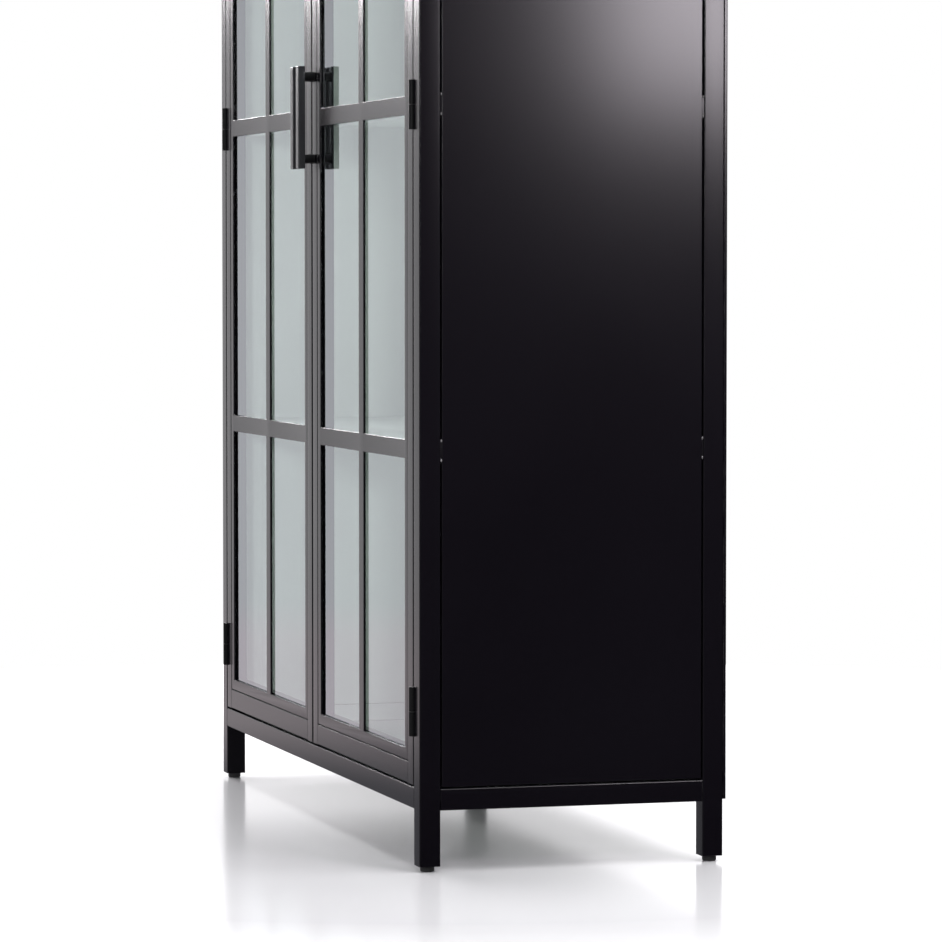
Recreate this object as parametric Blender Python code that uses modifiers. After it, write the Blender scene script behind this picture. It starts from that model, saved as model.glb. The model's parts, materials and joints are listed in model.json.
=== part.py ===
"""Tower display case: a black iron cabinet with two glazed doors, three fixed shelves and a pale interior.

Four square-tube posts run down as legs. Tube rails join them at the top and the bottom. Folded sheet
panels close the sides, the back and the top, and pale sheet linings face the inside. Each door is a tube
frame that holds one glass pane between a flat front grille and a glazing stop, and it swings on three
lift-off barrel hinges.

Metres, +Z up, the doors face -Y. The origin is at floor level, under the middle of the bounding box.
"""

import bpy
import bmesh
from math import radians
from mathutils import Matrix, Vector

# Overall size
WIDTH = 1.200  # over the posts
DEPTH = 0.440  # over the posts
HEIGHT = 2.020  # floor to the top of the posts

# Carcass
TUBE = 0.030  # side of the square tube of the posts and rails
POST_WALL = 0.003
RAIL_WALL = 0.002
TUBE_RADIUS = 0.002  # rounding of the tubes' long edges
GLIDE_HEIGHT = 0.008
GLIDE_RADIUS = 0.010
GLIDE_STEM_RADIUS = 0.0112
GLIDE_STEM = 0.016  # length of the stem inside the post
GLIDE_CHAMFER = 0.0015
RAIL_UNDERSIDE = 0.085  # floor to the bottom rails
SHEET = 0.001
PANEL_GAP = 0.002  # shadow gap around the side and top panels
PANEL_RETURN = 0.014  # depth of a panel's folded edge
PANEL_RECESS = 0.0005
PANEL_RADIUS = 0.0015
TAB_HEIGHT = 0.027  # welded tabs that close the shadow gap beside a side panel
TAB_DEPTH = 0.006
TAB_RECESS = 0.0015
BACK_THICKNESS = 0.0045
BACK_INSET = 0.0025  # the back sheet stops short of the frame's underside and top
LINING_RETURN = 0.010
LINING_SETBACK = 0.0005
FLOOR_THICKNESS = 0.002
FLOOR_RADIUS = 0.0003
SHELF_THICKNESS = 0.0195
SHELF_SETBACK = 0.004  # from the back of the doors to the shelves
SHELF_LIP_RADIUS = 0.001

# Doors
DOOR_GAP = 0.003  # between a door and the carcass, and from a door to the middle of the case
DOOR_DEPTH = 0.022
STILE = 0.028
DOOR_RAIL = 0.030
DOOR_WALL = 0.003
DOOR_RADIUS = 0.0015
END_CAP = 0.002
DRAIN_RADIUS = 0.003
BAR = 0.026  # width of the grille's mullion and mid rails
BAR_PITCH = 0.473  # from one mid rail to the next
GRILLE_BORDER = 0.016
GRILLE_THICKNESS = 0.0035
GRILLE_RECESS = 0.0005
GRILLE_GAP = 0.001  # groove between the grille and the tube frame
GRILLE_RADIUS = 0.0006
GLASS_THICKNESS = 0.005
STOP_WEB = 0.0015  # wall of the folded glazing stop

# Hinges and handles
BARREL_RADIUS = 0.005
BARREL_HEIGHT = 0.068
BARREL_CHAMFER = 0.0006
PIN_RADIUS = 0.0020
BORE_RADIUS = 0.0023
PIN_LENGTH = 0.024
BORE_DEPTH = 0.026
HINGE_PROUD = 0.0015  # the hinge axis stands this far in front of the carcass
HINGE_INSET = 0.1015  # end of a door to the middle of its outer hinges
HANDLE_LENGTH = 0.152
HANDLE_WIDTH = 0.016
HANDLE_THICKNESS = 0.011
HANDLE_RADIUS = 0.0012
STANDOFF_LENGTH = 0.016
STANDOFF_RADIUS = 0.0065
STANDOFF_CHAMFER = 0.0005
STANDOFF_SPACING = 0.122
CATCH_SIZE = (0.070, 0.012, 0.012)
CATCH_RADIUS = 0.001

TOUCH = 0.0003  # clearance left between pieces that touch
THROUGH = 0.010  # how far a cutter runs past the faces it cuts
ROUND_STEPS = 24
MERGE = 0.00005

# Levels and planes worked out from the sizes above
HANDLE_REACH = STANDOFF_LENGTH + HANDLE_THICKNESS
FRONT = HANDLE_REACH - (HANDLE_REACH + DEPTH + BACK_THICKNESS) / 2
REAR = FRONT + DEPTH
OUTER_X = WIDTH / 2
INNER_X = OUTER_X - TUBE
INNER_FRONT = FRONT + TUBE
INNER_REAR = REAR - TUBE
FLOOR_LEVEL = RAIL_UNDERSIDE + TUBE
CEILING_LEVEL = HEIGHT - TUBE
DOOR_BOTTOM = FLOOR_LEVEL + DOOR_GAP
DOOR_TOP = CEILING_LEVEL - DOOR_GAP
DOOR_MIDDLE = (DOOR_BOTTOM + DOOR_TOP) / 2
DOOR_BACK = FRONT + DOOR_DEPTH
MID_RAILS = [DOOR_MIDDLE - BAR_PITCH, DOOR_MIDDLE, DOOR_MIDDLE + BAR_PITCH]
HINGE_LEVELS = {
    "lower": DOOR_BOTTOM + HINGE_INSET,
    "middle": DOOR_MIDDLE,
    "upper": DOOR_TOP - HINGE_INSET,
}
HINGE_X = INNER_X - DOOR_GAP / 2
HINGE_Y = FRONT - HINGE_PROUD
SIDES = {"left": -1, "right": 1}


def clear_scene():
    for item in list(bpy.data.objects):
        bpy.data.objects.remove(item)


def new_collection(name):
    collection = bpy.data.collections.new(name)
    bpy.context.scene.collection.children.link(collection)
    return collection


def new_material(name, colour, roughness, metallic=0.0, transmission=0.0):
    material = bpy.data.materials.new(name)
    material.use_nodes = True
    shader = material.node_tree.nodes["Principled BSDF"]
    shader.inputs["Base Color"].default_value = (*colour, 1.0)
    shader.inputs["Roughness"].default_value = roughness
    shader.inputs["Metallic"].default_value = metallic
    shader.inputs["Transmission Weight"].default_value = transmission
    return material


clear_scene()
CASE = new_collection("tower_display_case")
CUTTERS = new_collection("cutters")
BLACK = new_material("black_paint", (0.012, 0.012, 0.014), 0.35)
BLACK_STEEL = new_material("blackened_steel", (0.014, 0.014, 0.015), 0.30, metallic=0.3)
PALE = new_material("pale_lining_paint", (0.52, 0.53, 0.52), 0.45)
GLASS = new_material("glass", (0.88, 0.93, 0.92), 0.02, transmission=1.0)
PLASTIC = new_material("black_plastic", (0.015, 0.015, 0.015), 0.55)


def add_object(name, mesh, centre, material=None, parent=None, cutter=False):
    """A named object with its place in its location, in the case or among the cutters."""
    item = bpy.data.objects.new(name, mesh)
    collection = CUTTERS if cutter else CASE
    collection.objects.link(item)
    if parent is not None:
        item.parent = parent
        centre = Vector(centre) - parent.location
    item.location = centre
    if material is not None:
        mesh.materials.append(material)
    if cutter:
        item.hide_render = True
        item.display_type = "WIRE"
    return item


def hinge_point(name, x, y):
    """An empty on a door's hinge axis, which carries everything that swings with the door."""
    item = bpy.data.objects.new(name, None)
    item.location = (x, y, 0)
    CASE.objects.link(item)
    return item


def box(name, low, high, material=None, parent=None, cutter=False):
    low = Vector(low)
    high = Vector(high)
    size = high - low
    mesh = bpy.data.meshes.new(name)
    form = bmesh.new()
    bmesh.ops.create_cube(form, size=1.0)
    bmesh.ops.scale(form, vec=size, verts=form.verts)
    form.to_mesh(mesh)
    form.free()
    return add_object(name, mesh, (low + high) / 2, material, parent, cutter)


def add_bevel(item, width, segments=2):
    bevel = item.modifiers.new("rounded_edges", "BEVEL")
    bevel.width = width
    bevel.segments = segments
    bevel.limit_method = "ANGLE"
    bevel.angle_limit = radians(40)
    return bevel


def bevel_edges(item, width, chosen, segments=2):
    """Rounds only the edges that chosen(middle of the edge, direction of the edge) picks."""
    form = bmesh.new()
    form.from_mesh(item.data)
    weight = form.edges.layers.float.new("bevel_weight_edge")
    for edge in form.edges:
        first, second = (vertex.co for vertex in edge.verts)
        if chosen((first + second) / 2, (second - first).normalized()):
            edge[weight] = 1.0
    form.to_mesh(item.data)
    form.free()
    bevel = add_bevel(item, width, segments)
    bevel.limit_method = "WEIGHT"


def shade_round(item):
    item.data.shade_smooth()
    item.data.set_sharp_from_angle(angle=radians(35))


def cut(item, cutter, operation="DIFFERENCE"):
    boolean = item.modifiers.new(operation.lower(), "BOOLEAN")
    boolean.operation = operation
    boolean.solver = "EXACT"
    boolean.object = cutter


def tube(name, low, high, axis, wall, radius, open_low=True, open_high=True, parent=None):
    """A square tube along axis (0, 1 or 2), its long edges rounded. A closed end keeps a cap of END_CAP."""
    item = box(name, low, high, BLACK, parent)
    bevel_edges(item, radius, lambda middle, direction: abs(direction[axis]) > 0.5)
    inner_low = Vector(low) + Vector((wall,) * 3)
    inner_high = Vector(high) - Vector((wall,) * 3)
    inner_low[axis] = low[axis] - THROUGH if open_low else low[axis] + END_CAP
    inner_high[axis] = high[axis] + THROUGH if open_high else high[axis] - END_CAP
    cut(item, box(name + "_hollow", inner_low, inner_high, parent=parent, cutter=True))
    return item


def drain_hole(item, x, y, z, parent):
    """A drain through the bottom cap of a closed tube."""
    mesh = bpy.data.meshes.new(item.name + "_drain")
    form = bmesh.new()
    bmesh.ops.create_cone(
        form,
        cap_ends=True,
        segments=ROUND_STEPS // 2,
        radius1=DRAIN_RADIUS,
        radius2=DRAIN_RADIUS,
        depth=2 * THROUGH,
    )
    form.to_mesh(mesh)
    form.free()
    cut(item, add_object(mesh.name, mesh, (x, y, z), parent=parent, cutter=True))


def pan(name, low, high, sheet, open_axis, open_sign, material, radius, parent=None):
    """A folded sheet: a face with returns all round. It is open towards open_sign along open_axis."""
    item = box(name, low, high, material, parent)
    half = (Vector(high) - Vector(low))[open_axis] / 2
    bevel_edges(item, radius, lambda middle, direction: middle[open_axis] * open_sign < half - TOUCH)
    inner_low = Vector(low) + Vector((sheet,) * 3)
    inner_high = Vector(high) - Vector((sheet,) * 3)
    if open_sign > 0:
        inner_high[open_axis] = high[open_axis] + THROUGH
    else:
        inner_low[open_axis] = low[open_axis] - THROUGH
    cut(item, box(name + "_pocket", inner_low, inner_high, parent=parent, cutter=True))
    return item


def turned(name, profile, centre, material, parent=None, axis_turn=None):
    """A turned piece. The profile is (radius, height) points from the top, down the side, to the bottom."""
    mesh = bpy.data.meshes.new(name)
    form = bmesh.new()
    points = [form.verts.new((radius, 0, height)) for radius, height in profile]
    for first, second in zip(points, points[1:]):
        form.edges.new((first, second))
    form.to_mesh(mesh)
    form.free()
    item = add_object(name, mesh, centre, material, parent)
    if axis_turn is not None:
        item.rotation_euler = axis_turn
    screw = item.modifiers.new("turned", "SCREW")
    screw.steps = ROUND_STEPS
    screw.render_steps = ROUND_STEPS
    screw.use_merge_vertices = True
    screw.merge_threshold = MERGE
    screw.use_smooth_shade = True
    return item


def lattice(name, xs, zs, windows, y_front, thickness, radius, parent, cutter=False):
    """A flat plate in the XZ plane, divided at xs and zs. The (column, row) cells in windows are left out."""
    centre = Vector(((xs[0] + xs[-1]) / 2, y_front, (zs[0] + zs[-1]) / 2))
    half_size = Vector(((xs[-1] - xs[0]) / 2, (zs[-1] - zs[0]) / 2, 1))
    mesh = bpy.data.meshes.new(name)
    form = bmesh.new()
    bmesh.ops.create_grid(form, x_segments=1, y_segments=1, size=1.0)
    bmesh.ops.scale(form, vec=half_size, verts=form.verts)
    bmesh.ops.rotate(form, cent=(0, 0, 0), matrix=Matrix.Rotation(radians(90), 3, "X"), verts=form.verts)
    for x in xs[1:-1]:
        everything = form.verts[:] + form.edges[:] + form.faces[:]
        bmesh.ops.bisect_plane(form, geom=everything, plane_co=(x - centre.x, 0, 0), plane_no=(1, 0, 0))
    for z in zs[1:-1]:
        everything = form.verts[:] + form.edges[:] + form.faces[:]
        bmesh.ops.bisect_plane(form, geom=everything, plane_co=(0, 0, z - centre.z), plane_no=(0, 0, 1))
    removed = []
    for face in form.faces:
        middle = face.calc_center_median() + centre
        column = sum(middle.x > x for x in xs) - 1
        row = sum(middle.z > z for z in zs) - 1
        if (column, row) in windows:
            removed.append(face)
    bmesh.ops.delete(form, geom=removed, context="FACES")
    form.to_mesh(mesh)
    form.free()
    item = add_object(name, mesh, centre, None if cutter else BLACK, parent, cutter)
    solid = item.modifiers.new("thickness", "SOLIDIFY")
    solid.thickness = thickness
    solid.offset = -1.0
    if radius:
        add_bevel(item, radius, segments=1)
    return item


def span(side, near, far):
    """The low and high X of a piece that lies between two distances from the case's middle plane."""
    ends = sorted((side * near, side * far))
    return ends[0], ends[1]


def post_name(side_name, row):
    return "post_" + row + "_" + side_name


def barrel_pocket(name, side, parent):
    """One cutter that clears the three hinge barrels of a door."""
    mesh = bpy.data.meshes.new(name)
    form = bmesh.new()
    for level in HINGE_LEVELS.values():
        bmesh.ops.create_cone(
            form,
            cap_ends=True,
            segments=ROUND_STEPS,
            radius1=BARREL_RADIUS + TOUCH,
            radius2=BARREL_RADIUS + TOUCH,
            depth=BARREL_HEIGHT + 2 * TOUCH,
            matrix=Matrix.Translation((0, 0, level)),
        )
    form.to_mesh(mesh)
    form.free()
    return add_object(name, mesh, (side * HINGE_X, HINGE_Y, 0), parent=parent, cutter=True)


def make_posts():
    for side_name, side in SIDES.items():
        low_x, high_x = span(side, INNER_X, OUTER_X)
        for row, y in (("front", FRONT), ("rear", INNER_REAR)):
            low = (low_x, y, GLIDE_HEIGHT)
            high = (high_x, y + TUBE, HEIGHT)
            post = tube(post_name(side_name, row), low, high, 2, POST_WALL, TUBE_RADIUS, open_high=False)
            if row == "front":
                cut(post, barrel_pocket(post.name + "_barrel_pocket", side, None))
            make_glide("glide_" + row + "_" + side_name, side * (OUTER_X - TUBE / 2), y + TUBE / 2)


def make_glide(name, x, y):
    """A press-in foot: a stem inside the post and a round pad below it."""
    stem_top = GLIDE_HEIGHT + GLIDE_STEM
    profile = [
        (0, stem_top),
        (GLIDE_STEM_RADIUS - GLIDE_CHAMFER, stem_top),
        (GLIDE_STEM_RADIUS, stem_top - GLIDE_CHAMFER),
        (GLIDE_STEM_RADIUS, GLIDE_HEIGHT),
        (GLIDE_RADIUS, GLIDE_HEIGHT - GLIDE_CHAMFER),
        (GLIDE_RADIUS, GLIDE_CHAMFER),
        (GLIDE_RADIUS - GLIDE_CHAMFER, 0),
        (0, 0),
    ]
    turned(name, profile, (x, y, 0), PLASTIC)


def make_rails():
    for level_name, low_z in (("bottom", RAIL_UNDERSIDE), ("top", CEILING_LEVEL)):
        high_z = low_z + TUBE
        for row, y in (("front", FRONT), ("rear", INNER_REAR)):
            low = (-INNER_X + TOUCH, y, low_z)
            high = (INNER_X - TOUCH, y + TUBE, high_z)
            tube(level_name + "_rail_" + row, low, high, 0, RAIL_WALL, TUBE_RADIUS)
        for side_name, side in SIDES.items():
            low_x, high_x = span(side, INNER_X, OUTER_X)
            low = (low_x, INNER_FRONT + TOUCH, low_z)
            high = (high_x, INNER_REAR - TOUCH, high_z)
            tube(level_name + "_rail_" + side_name, low, high, 1, RAIL_WALL, TUBE_RADIUS)


def edge_tabs(name, side):
    """Three tabs on each upright edge of a side panel, level with the shelves. They reach the posts."""
    width = PANEL_GAP + SHEET - 2 * TOUCH
    offset = INNER_REAR - TOUCH - width / 2 - (INNER_FRONT + INNER_REAR) / 2
    mesh = bpy.data.meshes.new(name)
    form = bmesh.new()
    for level in MID_RAILS:
        for y in (-offset, offset):
            matrix = Matrix.Translation((0, y, level)) @ Matrix.Diagonal((TAB_DEPTH, width, TAB_HEIGHT, 1))
            bmesh.ops.create_cube(form, size=1.0, matrix=matrix)
    form.to_mesh(mesh)
    form.free()
    x = side * (OUTER_X - TAB_RECESS - TAB_DEPTH / 2)
    return add_object(name, mesh, (x, (INNER_FRONT + INNER_REAR) / 2, 0), cutter=True)


def make_panels():
    for side_name, side in SIDES.items():
        low_x, high_x = span(side, OUTER_X - PANEL_RECESS - PANEL_RETURN, OUTER_X - PANEL_RECESS)
        low = (low_x, INNER_FRONT + PANEL_GAP, FLOOR_LEVEL + PANEL_GAP)
        high = (high_x, INNER_REAR - PANEL_GAP, CEILING_LEVEL - PANEL_GAP)
        panel = pan("side_panel_" + side_name, low, high, SHEET, 0, -side, BLACK, PANEL_RADIUS)
        cut(panel, edge_tabs(panel.name + "_tabs", side), "UNION")
    low = (-OUTER_X + PANEL_RECESS, REAR + TOUCH, RAIL_UNDERSIDE + BACK_INSET)
    high = (OUTER_X - PANEL_RECESS, REAR + BACK_THICKNESS, HEIGHT - BACK_INSET)
    pan("back_panel", low, high, SHEET, 1, -1, BLACK, PANEL_RADIUS / 2)
    low = (-INNER_X + PANEL_GAP, INNER_FRONT + PANEL_GAP, HEIGHT - PANEL_RECESS - PANEL_RETURN)
    high = (INNER_X - PANEL_GAP, INNER_REAR - PANEL_GAP, HEIGHT - PANEL_RECESS)
    pan("top_panel", low, high, SHEET, 2, -1, BLACK, PANEL_RADIUS)


def make_linings():
    """Pale sheets that face the inside, between the posts."""
    low_z = FLOOR_LEVEL + TOUCH
    high_z = CEILING_LEVEL - TOUCH
    for side_name, side in SIDES.items():
        face = INNER_X + LINING_SETBACK
        low_x, high_x = span(side, face, face + LINING_RETURN)
        low = (low_x, INNER_FRONT + TOUCH, low_z)
        high = (high_x, INNER_REAR - TOUCH, high_z)
        pan("lining_" + side_name, low, high, SHEET, 0, side, PALE, SHELF_LIP_RADIUS)
    low = (-INNER_X + TOUCH, INNER_REAR + LINING_SETBACK, low_z)
    high = (INNER_X - TOUCH, INNER_REAR + LINING_SETBACK + LINING_RETURN, high_z)
    pan("lining_back", low, high, SHEET, 1, 1, PALE, SHELF_LIP_RADIUS)


def make_floor():
    """A floor plate between the bottom rails, level with their undersides."""
    low = (-INNER_X + TOUCH, INNER_FRONT + TOUCH, RAIL_UNDERSIDE + TOUCH)
    high = (INNER_X - TOUCH, INNER_REAR - TOUCH, RAIL_UNDERSIDE + TOUCH + FLOOR_THICKNESS)
    plate = box("floor_plate", low, high, PALE)
    add_bevel(plate, FLOOR_RADIUS, segments=1)


def make_shelves():
    """Folded shelves behind the doors' mid rails, with their undersides level with those of the rails."""
    for number, level in enumerate(MID_RAILS, start=1):
        bottom = level - BAR / 2
        low = (-INNER_X + TOUCH, DOOR_BACK + SHELF_SETBACK, bottom)
        high = (INNER_X - TOUCH, INNER_REAR, bottom + SHELF_THICKNESS)
        pan("shelf_" + str(number), low, high, SHEET, 2, -1, PALE, SHELF_LIP_RADIUS)


def make_catch():
    """A double magnetic catch under the top front rail. The steel doors close against its face."""
    width, depth, height = CATCH_SIZE
    low = (-width / 2, DOOR_BACK + 2 * TOUCH, CEILING_LEVEL - TOUCH - height)
    high = (width / 2, DOOR_BACK + 2 * TOUCH + depth, CEILING_LEVEL - TOUCH)
    catch = box("magnetic_catch", low, high, PLASTIC)
    add_bevel(catch, CATCH_RADIUS)


def make_hinges(side_name, side, door):
    """Three barrels: the lower knuckle and its pin stay on the post, and the upper knuckle swings on the pin."""
    half = BARREL_HEIGHT / 2
    chamfered = BARREL_RADIUS - BARREL_CHAMFER
    post_knuckle = [
        (0, PIN_LENGTH),
        (PIN_RADIUS - BARREL_CHAMFER, PIN_LENGTH),
        (PIN_RADIUS, PIN_LENGTH - BARREL_CHAMFER),
        (PIN_RADIUS, -TOUCH),
        (BARREL_RADIUS, -TOUCH),
        (BARREL_RADIUS, -half + BARREL_CHAMFER),
        (chamfered, -half),
        (0, -half),
    ]
    door_knuckle = [
        (0, half),
        (chamfered, half),
        (BARREL_RADIUS, half - BARREL_CHAMFER),
        (BARREL_RADIUS, TOUCH),
        (BORE_RADIUS, TOUCH),
        (BORE_RADIUS, BORE_DEPTH),
        (0, BORE_DEPTH),
    ]
    for level_name, level in HINGE_LEVELS.items():
        place = (side * HINGE_X, HINGE_Y, level)
        turned("hinge_" + level_name + "_pin_" + side_name, post_knuckle, place, BLACK_STEEL)
        turned("hinge_" + level_name + "_knuckle_" + side_name, door_knuckle, place, BLACK_STEEL, door)


def make_handle(side_name, side, door):
    """A flat bar on two round standoffs, on the stile where the doors meet."""
    x = side * (DOOR_GAP + STILE / 2)
    bar_back = FRONT - STANDOFF_LENGTH
    low = (x - HANDLE_WIDTH / 2, bar_back - HANDLE_THICKNESS, DOOR_MIDDLE - HANDLE_LENGTH / 2)
    high = (x + HANDLE_WIDTH / 2, bar_back, DOOR_MIDDLE + HANDLE_LENGTH / 2)
    bar = box("handle_bar_" + side_name, low, high, BLACK_STEEL, door)
    add_bevel(bar, HANDLE_RADIUS)
    half = STANDOFF_LENGTH / 2 - TOUCH
    profile = [
        (0, half),
        (STANDOFF_RADIUS - STANDOFF_CHAMFER, half),
        (STANDOFF_RADIUS, half - STANDOFF_CHAMFER),
        (STANDOFF_RADIUS, STANDOFF_CHAMFER - half),
        (STANDOFF_RADIUS - STANDOFF_CHAMFER, -half),
        (0, -half),
    ]
    for row, offset in (("lower", -STANDOFF_SPACING / 2), ("upper", STANDOFF_SPACING / 2)):
        place = (x, FRONT - STANDOFF_LENGTH / 2, DOOR_MIDDLE + offset)
        name = "handle_standoff_" + row + "_" + side_name
        turned(name, profile, place, BLACK_STEEL, door, axis_turn=(radians(90), 0, 0))


def make_door_frame(side_name, side, door):
    """Two stiles and two rails of flat tube. The hinge stile is notched for the barrels."""
    middle_y = FRONT + DOOR_DEPTH / 2
    stiles = {
        "hinge": (INNER_X - DOOR_GAP - STILE, INNER_X - DOOR_GAP),
        "meeting": (DOOR_GAP, DOOR_GAP + STILE),
    }
    for role, (near, far) in stiles.items():
        low_x, high_x = span(side, near, far)
        low = (low_x, FRONT, DOOR_BOTTOM)
        high = (high_x, DOOR_BACK, DOOR_TOP)
        name = "door_stile_" + role + "_" + side_name
        stile = tube(name, low, high, 2, DOOR_WALL, DOOR_RADIUS, open_low=False, open_high=False, parent=door)
        drain_hole(stile, (low_x + high_x) / 2, middle_y, DOOR_BOTTOM, door)
        if role == "hinge":
            cut(stile, barrel_pocket(name + "_barrel_pocket", side, door))
    low_x, high_x = span(side, DOOR_GAP + STILE + TOUCH, INNER_X - DOOR_GAP - STILE - TOUCH)
    for row, low_z in (("bottom", DOOR_BOTTOM), ("top", DOOR_TOP - DOOR_RAIL)):
        low = (low_x, FRONT, low_z)
        high = (high_x, DOOR_BACK, low_z + DOOR_RAIL)
        tube("door_rail_" + row + "_" + side_name, low, high, 0, RAIL_WALL, DOOR_RADIUS, parent=door)


def make_glazing(side_name, side, door):
    """From the front: the flat grille, the glass pane, and the folded stop that holds the pane."""
    low_x, high_x = span(side, DOOR_GAP + STILE + GRILLE_GAP, INNER_X - DOOR_GAP - STILE - GRILLE_GAP)
    low_z = DOOR_BOTTOM + DOOR_RAIL + GRILLE_GAP
    high_z = DOOR_TOP - DOOR_RAIL - GRILLE_GAP
    middle_x = (low_x + high_x) / 2
    xs = [low_x, low_x + GRILLE_BORDER, middle_x - BAR / 2, middle_x + BAR / 2, high_x - GRILLE_BORDER, high_x]
    zs = [low_z, low_z + GRILLE_BORDER]
    for level in MID_RAILS:
        zs += [level - BAR / 2, level + BAR / 2]
    zs += [high_z - GRILLE_BORDER, high_z]
    windows = [(column, row) for column in (1, 3) for row in (1, 3, 5, 7)]
    grille_front = FRONT + GRILLE_RECESS
    lattice("door_grille_" + side_name, xs, zs, windows, grille_front, GRILLE_THICKNESS, GRILLE_RADIUS, door)

    glass_front = grille_front + GRILLE_THICKNESS + TOUCH
    glass_back = glass_front + GLASS_THICKNESS
    low = (low_x, glass_front, low_z)
    high = (high_x, glass_back, high_z)
    pane = box("door_glass_" + side_name, low, high, GLASS, door)
    add_bevel(pane, GRILLE_RADIUS, segments=1)

    stop_front = glass_back + TOUCH
    stop_depth = DOOR_BACK - GRILLE_RECESS - stop_front
    border_xs = [low_x, low_x + GRILLE_BORDER, high_x - GRILLE_BORDER, high_x]
    border_zs = [low_z, low_z + GRILLE_BORDER, high_z - GRILLE_BORDER, high_z]
    name = "glazing_stop_" + side_name
    stop = lattice(name, border_xs, border_zs, [(1, 1)], stop_front, stop_depth, 0, door)
    outer_border = GRILLE_BORDER - STOP_WEB
    groove_xs = [low_x - THROUGH, low_x + outer_border, high_x - outer_border, high_x + THROUGH]
    groove_zs = [low_z - THROUGH, low_z + outer_border, high_z - outer_border, high_z + THROUGH]
    groove_front = stop_front - THROUGH
    groove_depth = stop_depth + THROUGH - STOP_WEB
    groove = name + "_groove"
    groove = lattice(groove, groove_xs, groove_zs, [(1, 1)], groove_front, groove_depth, 0, door, cutter=True)
    cut(stop, groove)


def make_doors():
    for side_name, side in SIDES.items():
        door = hinge_point("door_" + side_name + "_hinge_axis", side * HINGE_X, HINGE_Y)
        make_door_frame(side_name, side, door)
        make_glazing(side_name, side, door)
        make_handle(side_name, side, door)
        make_hinges(side_name, side, door)


make_posts()
make_rails()
make_panels()
make_linings()
make_floor()
make_shelves()
make_catch()
make_doors()
for case_object in CASE.objects:
    if case_object.type == "MESH":
        shade_round(case_object)
bpy.context.view_layer.update()
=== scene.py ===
"""Looks for the tower display case: satin black paint, pale inside, clear panes, and a plain white studio."""

import json

import bmesh
import bpy
from math import cos, pi, radians, sin
from mathutils import Matrix, Vector


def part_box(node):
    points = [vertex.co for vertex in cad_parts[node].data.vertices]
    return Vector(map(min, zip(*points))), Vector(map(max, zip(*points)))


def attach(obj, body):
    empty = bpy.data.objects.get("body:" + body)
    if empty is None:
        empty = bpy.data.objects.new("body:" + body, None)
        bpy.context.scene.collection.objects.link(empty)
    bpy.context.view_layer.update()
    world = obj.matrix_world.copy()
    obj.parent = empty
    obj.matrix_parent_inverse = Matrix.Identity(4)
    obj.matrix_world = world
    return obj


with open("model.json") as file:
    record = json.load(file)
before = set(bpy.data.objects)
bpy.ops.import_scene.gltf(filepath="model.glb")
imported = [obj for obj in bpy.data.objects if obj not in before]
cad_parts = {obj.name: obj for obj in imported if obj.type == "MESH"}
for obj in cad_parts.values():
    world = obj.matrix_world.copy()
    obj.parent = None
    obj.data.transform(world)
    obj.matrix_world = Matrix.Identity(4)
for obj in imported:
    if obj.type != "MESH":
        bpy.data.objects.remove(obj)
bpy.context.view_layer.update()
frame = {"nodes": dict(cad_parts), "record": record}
NODES = frame["nodes"]
SIDES = {"left": -1, "right": 1}

# Camera
CAMERA_PLACE = (6.3875, -1.8120, 0.8304)
CAMERA_TURN = 16.156  # degrees from -X towards +Y
CAMERA_DIP = 2.652  # degrees below the horizon
CAMERA_REACH = (0.1, 100.0)
LENS = 168.24
SENSOR = 36.0

# Room: what the case mirrors all round, bright on its left and front, and dark on its right
ROOM_STRENGTH = 1.0
BRIGHT_SIDE = (-0.85, -0.52, 0.0)
BRIGHT_TURN = (-0.15, 0.35)  # how directly a ray faces the bright side, from the dark wall to the bright one
BRIGHT_WALL = (0.82, 0.808, 0.83)
UPPER_RISE = (0.0, 0.08)
UPPER_WALL = (0.74, 0.735, 0.76)
BACK_SIDE = (-0.96, 0.28, 0.0)
BACK_TURN = (0.88, 0.97)
BACK_WALL = (1.20, 1.19, 1.21)
DARK_WALL = (0.03, 0.03, 0.035)
BACKDROP_RADIUS = 60.0
BACKDROP_STEPS = (32, 16)
WHITE = (1.0, 1.0, 1.0)

# Floor
FLOOR_RADIUS = 2.6
FLOOR_FADE = (1.1, 2.5)  # metres from the middle, over which the floor whitens into the backdrop
FLOOR_COLOUR = (0.46, 0.46, 0.47)
FLOOR_STEPS = 96
FLOOR_GRAIN = 0.8
FLOOR_DRIFT = (0.3, 0.7)
FLOOR_GLOSS = (0.12, 0.17)
# The mirrored floor is a glowing sheet with painted shade: dim beside the case, bright further out
MIRRORED_FLOOR = ((-6.0, -6.0), (0.6, 3.0))
MIRROR_DROP = 0.001
MIRROR_BRIGHTENS = (0.55, 1.5)  # metres from the middle
MIRROR_MEETS_WALL = (3.3, 4.4)
# painted shade: the glow colour beside the case
MIRROR_PAINTED_SHADE = (0.25, 0.25, 0.275)
MIRROR_BRIGHT = (0.90, 0.815, 0.855)

# Lights: each is a rectangle at a place that faces a target
LIGHTS = {
    "key": {"place": (4.4, -2.49, 1.45), "target": (0, 0, 0.9), "size": (0.4, 0.4), "watts": 84.0},
    "right_box": {
        "place": (2.40, 0.87, 1.39),
        "target": (0.6, 0.05, 0.9),
        "size": (0.42, 0.50),
        "watts": 31.0,
        "colour": (1.0, 0.93, 1.0),
    },
    "front_box": {
        "place": (-3.068, -1.352, 1.641),
        "target": (0, -0.2, 1.0),
        "size": (3.85, 0.19),
        "watts": 156.0,
        "colour": (1.0, 0.96, 0.98),
    },
    "top": {"place": (-0.1, 1.8, 4.0), "target": (-0.1, 1.8, 0), "size": (7.0, 5.5), "watts": 900.0},
    "fill": {
        "place": (-1.0, -6.0, 2.0),
        "target": (0, -0.2, 0.8),
        "size": (4.0, 3.0),
        "watts": 75.0,
        "mirrored": False,
    },
}

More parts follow.
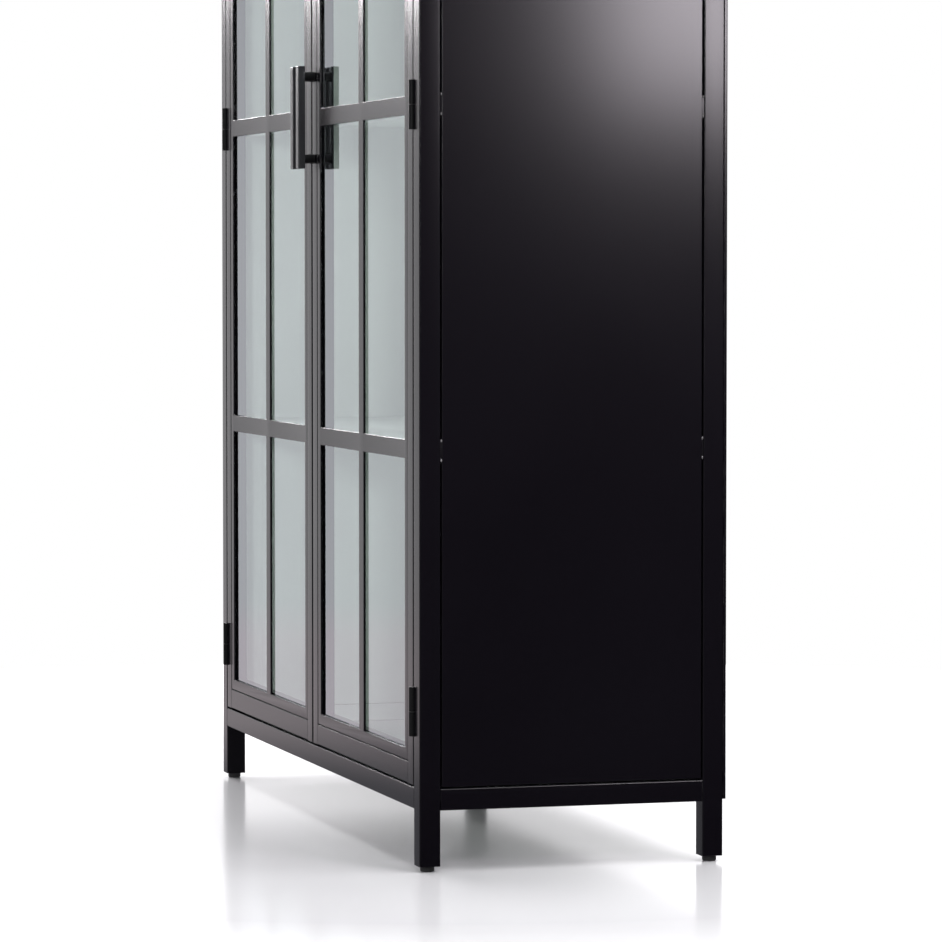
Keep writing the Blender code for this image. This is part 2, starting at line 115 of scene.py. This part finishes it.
# Paint
DRIFT_SCALE = 3.0
SPECKLE_SCALE = 0.35  # of the grain's
SPECKLE_IN_TONE = 0.3
SPECKLE_IN_GLOSS = 0.2
TONE_RANGE = (0.30, 0.70)
GLOSS_RANGE = (0.2, 0.8)
SKIN_STRENGTH = 0.35
EDGE_RADIUS = 0.0012
EDGE_SAMPLES = 4
EDGE_TURN = (0.99, 0.90)  # how far the rounded normal turns from the flat one, as a cosine
RUB_SCALE = 40.0
RUB_RANGE = (0.42, 0.62)

# Glass
GLASS_IOR = 1.50
GLASS_TINT = (0.935, 0.965, 0.955)
GLASS_MIRROR = (0.92, 0.96, 1.0)
SMEAR_SCALE = 3.0
SMEAR_RANGE = (0.50, 0.80)
SMEAR_ROUGHNESS = 0.02
WAVE_SCALE = 1.5
WAVE_STRENGTH = 0.05
WAVE_DEPTH = 0.001

# Small pieces
TOUCH = 0.0003
PANEL_GAP = 0.002
SKIRT_SHEET = 0.0012
SKIRT_ROUNDING = 0.0004
TAB_LEVELS = (0.5795, 1.0525, 1.5255)
TAB_HEIGHT = 0.027
BEAD_SINK = 0.0005
BEAD_SIZE = (0.0009, 0.0012, 0.0020)
BEAD_STEPS = (12, 8)
SCREW_RADIUS = 0.0045
SOCKET_RADIUS = 0.0018
SCREW_ROUNDING = 0.0002
SCREW_STEPS = 24
SCREW_OUTLINE = (
    (0, 0),
    (SCREW_RADIUS, 0),
    (SCREW_RADIUS, 0.0012),
    (0.0036, 0.0022),
    (0.0021, 0.0024),
    (SOCKET_RADIUS, 0.0012),
    (0, 0.0010),
)
STRIKE_SHEET = 0.0004
STRIKE_X = (0.006, 0.028)
STRIKE_MARGIN = 0.001

# Shading of rounded edges
CREASE = 50.0  # degrees; a sharper edge stays an edge
WELD = 0.00001
FLAT_WEIGHT = 50
BEVEL_CREASE = 40.0  # degrees; an edge sharper than this is rounded


def link(item):
    bpy.context.scene.collection.objects.link(item)
    return item


# Materials


class Shader:
    """A small helper that adds and joins the nodes of one material or world."""

    def __init__(self, tree):
        self.tree = tree
        self.tree.nodes.clear()

    def add(self, kind, **settings):
        node = self.tree.nodes.new(kind)
        for name, value in settings.items():
            setattr(node, name, value)
        return node

    def join(self, source, target):
        self.tree.links.new(source, target)

    def place(self, kind="Object"):
        return self.add("ShaderNodeTexCoord").outputs[kind]

    def noise(self, place, scale, detail=3.0):
        node = self.add("ShaderNodeTexNoise")
        node.inputs["Scale"].default_value = scale
        node.inputs["Detail"].default_value = detail
        self.join(place, node.inputs["Vector"])
        return node.outputs["Fac"]

    def stretch(self, value, low, high, to_low=0.0, to_high=1.0):
        node = self.add("ShaderNodeMapRange")
        node.inputs["From Min"].default_value = low
        node.inputs["From Max"].default_value = high
        node.inputs["To Min"].default_value = to_low
        node.inputs["To Max"].default_value = to_high
        self.join(value, node.inputs["Value"])
        return node.outputs["Result"]

    def maths(self, operation, first, second, clamp=False):
        node = self.add("ShaderNodeMath", operation=operation, use_clamp=clamp)
        for socket, value in zip(node.inputs, (first, second)):
            if isinstance(value, (int, float)):
                socket.default_value = value
            else:
                self.join(value, socket)
        return node.outputs[0]

    def blend(self, first, second, share):
        """A sum of two values in which the second has the given share."""
        first_part = self.maths("MULTIPLY", first, 1 - share)
        second_part = self.maths("MULTIPLY", second, share)
        return self.maths("ADD", first_part, second_part)

    def mix(self, share, first, second):
        node = self.add("ShaderNodeMix", data_type="RGBA")
        colours = [socket for socket in node.inputs if socket.type == "RGBA"]
        self.join(share, node.inputs[0])
        for socket, value in zip(colours, (first, second)):
            if isinstance(value, tuple):
                socket.default_value = (*value, 1.0)
            else:
                self.join(value, socket)
        return next(socket for socket in node.outputs if socket.type == "RGBA")

    def dot(self, first, second):
        """How directly two directions agree; the second is a tuple or another node's output."""
        node = self.add("ShaderNodeVectorMath", operation="DOT_PRODUCT")
        self.join(first, node.inputs[0])
        if isinstance(second, tuple):
            node.inputs[1].default_value = second
        else:
            self.join(second, node.inputs[1])
        return node.outputs["Value"]

    def length(self, vector):
        node = self.add("ShaderNodeVectorMath", operation="LENGTH")
        self.join(vector, node.inputs[0])
        return node.outputs["Value"]

    def bump(self, height, strength, distance):
        node = self.add("ShaderNodeBump")
        node.inputs["Strength"].default_value = strength
        node.inputs["Distance"].default_value = distance
        self.join(height, node.inputs["Height"])
        return node.outputs["Normal"]

    def show(self, surface, kind="ShaderNodeOutputMaterial"):
        self.join(surface, self.add(kind).inputs["Surface"])


def new_material(name):
    material = bpy.data.materials.new(name)
    material.use_nodes = True
    return material, Shader(material.node_tree)


def edge_share(shader):
    """1 on the rounded edges and 0 on the flats."""
    bevel = shader.add("ShaderNodeBevel", samples=EDGE_SAMPLES)
    bevel.inputs["Radius"].default_value = EDGE_RADIUS
    geometry = shader.add("ShaderNodeNewGeometry")
    return shader.stretch(shader.dot(bevel.outputs["Normal"], geometry.outputs["Normal"]), *EDGE_TURN)


def painted(name, dark, light, worn, roughness, grain, grain_depth, ior=1.45, metallic=0.0):
    """Sprayed paint on steel: drifting tone, uneven gloss, a fine skin texture and slightly rubbed edges."""
    material, shader = new_material(name)
    place = shader.place()
    drift = shader.noise(place, DRIFT_SCALE, detail=4.0)
    speckle = shader.noise(place, grain * SPECKLE_SCALE, detail=2.0)
    skin = shader.noise(place, grain, detail=1.0)
    tone = shader.stretch(shader.blend(drift, speckle, SPECKLE_IN_TONE), *TONE_RANGE)
    patchy = shader.stretch(shader.noise(place, RUB_SCALE, detail=5.0), *RUB_RANGE)
    rubbed = shader.maths("MULTIPLY", edge_share(shader), patchy)
    colour = shader.mix(rubbed, shader.mix(tone, dark, light), worn)
    gloss = shader.stretch(shader.blend(drift, speckle, SPECKLE_IN_GLOSS), *GLOSS_RANGE, *roughness)
    principled = shader.add("ShaderNodeBsdfPrincipled")
    principled.inputs["IOR"].default_value = ior
    principled.inputs["Metallic"].default_value = metallic
    shader.join(colour, principled.inputs["Base Color"])
    shader.join(gloss, principled.inputs["Roughness"])
    shader.join(shader.bump(skin, SKIN_STRENGTH, grain_depth), principled.inputs["Normal"])
    shader.show(principled.outputs["BSDF"])
    return material


def clear_glass(name):
    """A flat pane: it mirrors by Fresnel's law on its near face and tints what is seen through it."""
    material, shader = new_material(name)
    place = shader.place()
    fresnel = shader.add("ShaderNodeFresnel")
    fresnel.inputs["IOR"].default_value = GLASS_IOR
    single = fresnel.outputs["Fac"]
    both = shader.maths("DIVIDE", shader.maths("MULTIPLY", single, 2.0), shader.maths("ADD", single, 1.0))
    front = shader.maths("SUBTRACT", 1.0, shader.add("ShaderNodeNewGeometry").outputs["Backfacing"])
    share = shader.maths("MULTIPLY", both, front, clamp=True)
    through = shader.add("ShaderNodeBsdfTransparent")
    through.inputs["Color"].default_value = (*GLASS_TINT, 1.0)
    mirror = shader.add("ShaderNodeBsdfGlossy")
    mirror.inputs["Color"].default_value = (*GLASS_MIRROR, 1.0)
    smears = shader.noise(place, SMEAR_SCALE, detail=2.0)
    shader.join(shader.stretch(smears, *SMEAR_RANGE, 0.0, SMEAR_ROUGHNESS), mirror.inputs["Roughness"])
    waves = shader.noise(place, WAVE_SCALE, detail=0.0)
    shader.join(shader.bump(waves, WAVE_STRENGTH, WAVE_DEPTH), mirror.inputs["Normal"])
    mixed = shader.add("ShaderNodeMixShader")
    shader.join(share, mixed.inputs["Fac"])
    shader.join(through.outputs["BSDF"], mixed.inputs[1])
    shader.join(mirror.outputs["BSDF"], mixed.inputs[2])
    shader.show(mixed.outputs["Shader"])
    return material


def glowing(name):
    """A white glow that isn't sampled as a light: the material, its shader and its emission node."""
    material, shader = new_material(name)
    emission = shader.add("ShaderNodeEmission")
    emission.inputs["Color"].default_value = (*WHITE, 1.0)
    emission.inputs["Strength"].default_value = ROOM_STRENGTH
    shader.show(emission.outputs["Emission"])
    material.cycles.emission_sampling = "NONE"
    return material, shader, emission


BLACK_PAINT = painted(
    "satin_black_paint",
    dark=(0.0020, 0.0016, 0.0026),
    light=(0.0030, 0.0025, 0.0038),
    worn=(0.03, 0.03, 0.031),
    roughness=(0.200, 0.214),
    grain=900.0,
    grain_depth=0.000008,
    ior=1.25,
)
BLACK_STEEL = painted(
    "blackened_steel",
    dark=(0.004, 0.004, 0.0045),
    light=(0.007, 0.007, 0.0075),
    worn=(0.03, 0.03, 0.03),
    roughness=(0.36, 0.44),
    grain=1400.0,
    grain_depth=0.00003,
    ior=1.15,
)
GUNMETAL = painted(
    "gunmetal",
    dark=(0.020, 0.020, 0.022),
    light=(0.030, 0.030, 0.033),
    worn=(0.08, 0.08, 0.08),
    roughness=(0.24, 0.28),
    grain=1200.0,
    grain_depth=0.00001,
    ior=1.25,
    metallic=0.2,
)
PALE_PAINT = painted(
    "pale_lining_paint",
    dark=(0.68, 0.71, 0.68),
    light=(0.71, 0.74, 0.71),
    worn=(0.75, 0.77, 0.75),
    roughness=(0.38, 0.50),
    grain=700.0,
    grain_depth=0.00005,
)
PLASTIC = painted(
    "black_plastic",
    dark=(0.009, 0.009, 0.009),
    light=(0.013, 0.013, 0.013),
    worn=(0.03, 0.03, 0.03),
    roughness=(0.50, 0.62),
    grain=1800.0,
    grain_depth=0.0001,
)
BARE_WELD = painted(
    "weld_bead",
    dark=(0.05, 0.048, 0.05),
    light=(0.12, 0.115, 0.12),
    worn=(0.2, 0.2, 0.2),
    roughness=(0.22, 0.34),
    grain=1500.0,
    grain_depth=0.0001,
)
BRIGHT_STEEL = painted(
    "zinc_steel",
    dark=(0.30, 0.30, 0.31),
    light=(0.38, 0.38, 0.39),
    worn=(0.5, 0.5, 0.5),
    roughness=(0.30, 0.45),
    grain=1600.0,
    grain_depth=0.0001,
)
CLEAR_GLASS = clear_glass("clear_glass")
SLOT_MATERIALS = {
    "frame": BLACK_PAINT,
    "lining": PALE_PAINT,
    "glass": CLEAR_GLASS,
    "hardware": BLACK_STEEL,
    "plastic": PLASTIC,
}


# Shading of the carried-over nodes


def round_shading():
    """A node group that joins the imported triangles, smooths them and keeps edges sharper than CREASE."""
    group = bpy.data.node_groups.new("round_shading", "GeometryNodeTree")
    group.interface.new_socket("Geometry", in_out="INPUT", socket_type="NodeSocketGeometry")
    group.interface.new_socket("Geometry", in_out="OUTPUT", socket_type="NodeSocketGeometry")
    nodes = group.nodes
    start = nodes.new("NodeGroupInput")
    end = nodes.new("NodeGroupOutput")
    weld = nodes.new("GeometryNodeMergeByDistance")
    weld.inputs["Distance"].default_value = WELD
    smooth = nodes.new("GeometryNodeSetShadeSmooth")
    smooth.domain = "FACE"
    angle = nodes.new("GeometryNodeInputMeshEdgeAngle")
    gentle = nodes.new("FunctionNodeCompare")
    gentle.data_type = "FLOAT"
    gentle.operation = "LESS_EQUAL"
    gentle.inputs[1].default_value = radians(CREASE)
    edges = nodes.new("GeometryNodeSetShadeSmooth")
    edges.domain = "EDGE"
    links = group.links
    links.new(start.outputs[0], weld.inputs["Geometry"])
    links.new(weld.outputs["Geometry"], smooth.inputs["Geometry"])
    links.new(smooth.outputs["Geometry"], edges.inputs["Geometry"])
    links.new(angle.outputs["Unsigned Angle"], gentle.inputs[0])
    links.new(gentle.outputs["Result"], edges.inputs["Shade Smooth"])
    links.new(edges.outputs["Geometry"], end.inputs[0])
    return group


def dress_nodes():
    """Each carried-over node gets its material and a shading that follows its rounded edges."""
    shading = round_shading()
    slots = {entry["node"]: entry["material_slot"] for entry in frame["record"]["subparts"]}
    for name, node in NODES.items():
        node.data.materials.clear()
        material = GUNMETAL if name.startswith("handle_bar") else SLOT_MATERIALS[slots[name]]
        node.data.materials.append(material)
        custom = node.data.attributes.get("custom_normal")
        if custom is not None:
            node.data.attributes.remove(custom)
        node.modifiers.new("round_shading", "NODES").node_group = shading
        weighted = node.modifiers.new("flat_faces", "WEIGHTED_NORMAL")
        weighted.keep_sharp = True
        weighted.weight = FLAT_WEIGHT


# Pieces the CAD leaves out


def make_object(name, form, material):
    mesh = bpy.data.meshes.new(name)
    form.to_mesh(mesh)
    form.free()
    mesh.materials.append(material)
    return link(bpy.data.objects.new(name, mesh))


def add_piece(name, form, material, body):
    bmesh.ops.recalc_face_normals(form, faces=form.faces)
    piece = make_object(name, form, material)
    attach(piece, body)
    return piece


def soften(piece, width):
    bevel = piece.modifiers.new("soften", "BEVEL")
    bevel.width = width
    bevel.segments = 2
    bevel.limit_method = "ANGLE"
    bevel.angle_limit = radians(BEVEL_CREASE)
    bevel.harden_normals = True


def make_skirting():
    """A pale mitred trim all round the inner faces of the bottom rails, above the floor plate."""
    low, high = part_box("floor_plate")
    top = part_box("lining_back")[0][2] - TOUCH
    bottom = high[2] + TOUCH
    form = bmesh.new()
    rings = []
    for inset, z in ((0, bottom), (0, top), (SKIRT_SHEET, top), (SKIRT_SHEET, bottom)):
        x_low, x_high = low[0] + inset, high[0] - inset
        y_low, y_high = low[1] + inset, high[1] - inset
        corners = ((x_low, y_low), (x_high, y_low), (x_high, y_high), (x_low, y_high))
        rings.append([form.verts.new((x, y, z)) for x, y in corners])
    for here, there in zip(rings, rings[1:] + rings[:1]):
        for corner in range(4):
            after = (corner + 1) % 4
            form.faces.new((here[corner], here[after], there[after], there[corner]))
    soften(add_piece("skirting", form, PALE_PAINT, "cabinet"), SKIRT_ROUNDING)


def make_weld_beads():
    """Small flat weld beads at both ends of each tab that joins a side panel to its posts."""
    gap_middle = PANEL_GAP / 2
    around, up = BEAD_STEPS
    for side_name, side in SIDES.items():
        low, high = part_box("side_panel_" + side_name)
        x = max(abs(low[0]), abs(high[0])) - BEAD_SINK
        form = bmesh.new()
        for level in TAB_LEVELS:
            for y in (low[1] + gap_middle, high[1] - gap_middle):
                for end in (-TAB_HEIGHT / 2, TAB_HEIGHT / 2):
                    place = Matrix.Translation((side * x, y, level + end)) @ Matrix.Diagonal((*BEAD_SIZE, 1))
                    bmesh.ops.create_uvsphere(
                        form, u_segments=around, v_segments=up, radius=1.0, matrix=place
                    )
        for face in form.faces:
            face.smooth = True
        add_piece("weld_beads_" + side_name, form, BARE_WELD, "cabinet")


def lathe(form, outline, place):
    """Turns an outline of (radius, height) pairs about the line along +Y through a place."""
    x, y, z = place
    rings = []
    for radius, height in outline:
        if radius == 0:
            rings.append([form.verts.new((x, y + height, z))])
            continue
        angles = [2 * pi * step / SCREW_STEPS for step in range(SCREW_STEPS)]
        rings.append([form.verts.new((x + radius * cos(a), y + height, z + radius * sin(a))) for a in angles])
    for here, there in zip(rings, rings[1:]):
        for step in range(SCREW_STEPS):
            after = (step + 1) % SCREW_STEPS
            corners = [here[step % len(here)], here[after % len(here)]]
            corners += [there[after % len(there)], there[step % len(there)]]
            form.faces.new(list(dict.fromkeys(corners)))


def make_handle_screws():
    """The two socket screws behind each handle, on the door's inner face."""
    for side_name in SIDES:
        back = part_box("door_stile_meeting_" + side_name)[1][1]
        form = bmesh.new()
        for level in ("lower", "upper"):
            low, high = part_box("handle_standoff_" + level + "_" + side_name)
            place = ((low[0] + high[0]) / 2, back + TOUCH / 3, (low[2] + high[2]) / 2)
            lathe(form, SCREW_OUTLINE, place)
        piece = add_piece("handle_screws_" + side_name, form, BLACK_STEEL, "door_" + side_name)
        soften(piece, SCREW_ROUNDING)


def make_strikes():
    """A thin steel plate on each door that the magnetic catch holds."""
    catch_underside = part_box("magnetic_catch")[0][2]
    for side_name, side in SIDES.items():
        stile_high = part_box("door_stile_meeting_" + side_name)[1]
        y_low = stile_high[1] + STRIKE_SHEET / 4
        x_low, x_high = sorted((side * STRIKE_X[0], side * STRIKE_X[1]))
        z_low, z_high = catch_underside + STRIKE_MARGIN, stile_high[2] - STRIKE_MARGIN
        centre = ((x_low + x_high) / 2, y_low + STRIKE_SHEET / 2, (z_low + z_high) / 2)
        size = (x_high - x_low, STRIKE_SHEET, z_high - z_low)
        place = Matrix.Translation(centre) @ Matrix.Diagonal((*size, 1))
        form = bmesh.new()
        bmesh.ops.create_cube(form, size=1.0, matrix=place)
        piece = add_piece("strike_plate_" + side_name, form, BRIGHT_STEEL, "door_" + side_name)
        soften(piece, STRIKE_SHEET / 3)


# Studio


def aim_at(item, aim):
    item.rotation_euler = Vector(aim).to_track_quat("-Z", "Y").to_euler()


def make_camera():
    data = bpy.data.cameras.new("camera")
    data.sensor_width = SENSOR
    data.lens = LENS
    data.clip_start, data.clip_end = CAMERA_REACH
    camera = link(bpy.data.objects.new("camera", data))
    turn, dip = radians(CAMERA_TURN), radians(CAMERA_DIP)
    camera.location = CAMERA_PLACE
    aim_at(camera, (-cos(turn) * cos(dip), sin(turn) * cos(dip), -sin(dip)))
    bpy.context.scene.camera = camera


def make_floor():
    """A glossy white floor that whitens into the backdrop. Glossy rays pass it by."""
    material, shader = new_material("studio_floor")
    place = shader.place()
    principled = shader.add("ShaderNodeBsdfPrincipled")
    principled.inputs["Base Color"].default_value = (*FLOOR_COLOUR, 1.0)
    principled.inputs["Emission Color"].default_value = (*WHITE, 1.0)
    fade = shader.stretch(shader.length(place), *FLOOR_FADE)
    shader.join(fade, principled.inputs["Emission Strength"])
    uneven = shader.stretch(shader.noise(place, FLOOR_GRAIN), *FLOOR_DRIFT, *FLOOR_GLOSS)
    shader.join(uneven, principled.inputs["Roughness"])
    shader.show(principled.outputs["BSDF"])
    material.cycles.emission_sampling = "NONE"
    form = bmesh.new()
    bmesh.ops.create_circle(form, cap_ends=True, segments=FLOOR_STEPS, radius=FLOOR_RADIUS)
    floor = make_object("studio_floor", form, material)
    floor.visible_glossy = False


def make_mirrored_floor():
    """What the panes and the paint mirror instead of the floor: a glowing sheet with painted shade, dim
    beside the case and bright further out.
    """
    material, shader, emission = glowing("mirrored_floor")
    distance = shader.length(shader.place())
    # painted shade: the glow dims towards the case
    colour = shader.mix(shader.stretch(distance, *MIRROR_BRIGHTENS), MIRROR_PAINTED_SHADE, MIRROR_BRIGHT)
    colour = shader.mix(shader.stretch(distance, *MIRROR_MEETS_WALL), colour, BRIGHT_WALL)
    shader.join(colour, emission.inputs["Color"])
    (x_low, y_low), (x_high, y_high) = MIRRORED_FLOOR
    form = bmesh.new()
    corners = ((x_low, y_low), (x_high, y_low), (x_high, y_high), (x_low, y_high))
    form.faces.new([form.verts.new((x, y, 0.0)) for x, y in corners])
    mirrored = make_object("mirrored_floor", form, material)
    mirrored.location = (0, 0, -MIRROR_DROP)
    mirrored.visible_camera = False
    mirrored.visible_diffuse = False
    mirrored.visible_transmission = False
    mirrored.visible_shadow = False


def make_backdrop():
    """A plain white dome that only the camera sees: it lights nothing."""
    material = glowing("white_backdrop")[0]
    around, up = BACKDROP_STEPS
    form = bmesh.new()
    bmesh.ops.create_uvsphere(form, u_segments=around, v_segments=up, radius=BACKDROP_RADIUS)
    dome = make_object("white_backdrop", form, material)
    dome.visible_diffuse = False
    dome.visible_glossy = False
    dome.visible_transmission = False
    dome.visible_shadow = False


def make_light(name, place, target, size, watts, colour=WHITE, mirrored=True):
    data = bpy.data.lights.new(name, "AREA")
    data.shape = "RECTANGLE"
    data.size, data.size_y = size
    data.energy = watts
    data.color = colour
    light = link(bpy.data.objects.new(name, data))
    light.location = place
    aim_at(light, Vector(target) - Vector(place))
    light.visible_camera = False
    light.visible_glossy = mirrored


def make_world():
    """A room whose walls shade into each other by direction."""
    world = bpy.data.worlds.new("studio_room")
    world.use_nodes = True
    shader = Shader(world.node_tree)
    direction = shader.place("Generated")
    split = shader.add("ShaderNodeSeparateXYZ")
    shader.join(direction, split.inputs[0])
    higher = shader.stretch(split.outputs["Z"], *UPPER_RISE)
    bright = shader.stretch(shader.dot(direction, BRIGHT_SIDE), *BRIGHT_TURN)
    behind = shader.stretch(shader.dot(direction, BACK_SIDE), *BACK_TURN)
    walls = shader.mix(bright, DARK_WALL, shader.mix(higher, BRIGHT_WALL, UPPER_WALL))
    background = shader.add("ShaderNodeBackground")
    shader.join(shader.mix(behind, walls, BACK_WALL), background.inputs["Color"])
    background.inputs["Strength"].default_value = ROOM_STRENGTH
    shader.show(background.outputs["Background"], "ShaderNodeOutputWorld")
    bpy.context.scene.world = world


def make_studio():
    bpy.context.scene.view_settings.view_transform = "Standard"
    make_camera()
    make_world()
    make_backdrop()
    make_floor()
    make_mirrored_floor()
    for name, light in LIGHTS.items():
        make_light(name, **light)


dress_nodes()
make_skirting()
make_weld_beads()
make_handle_screws()
make_strikes()
make_studio()
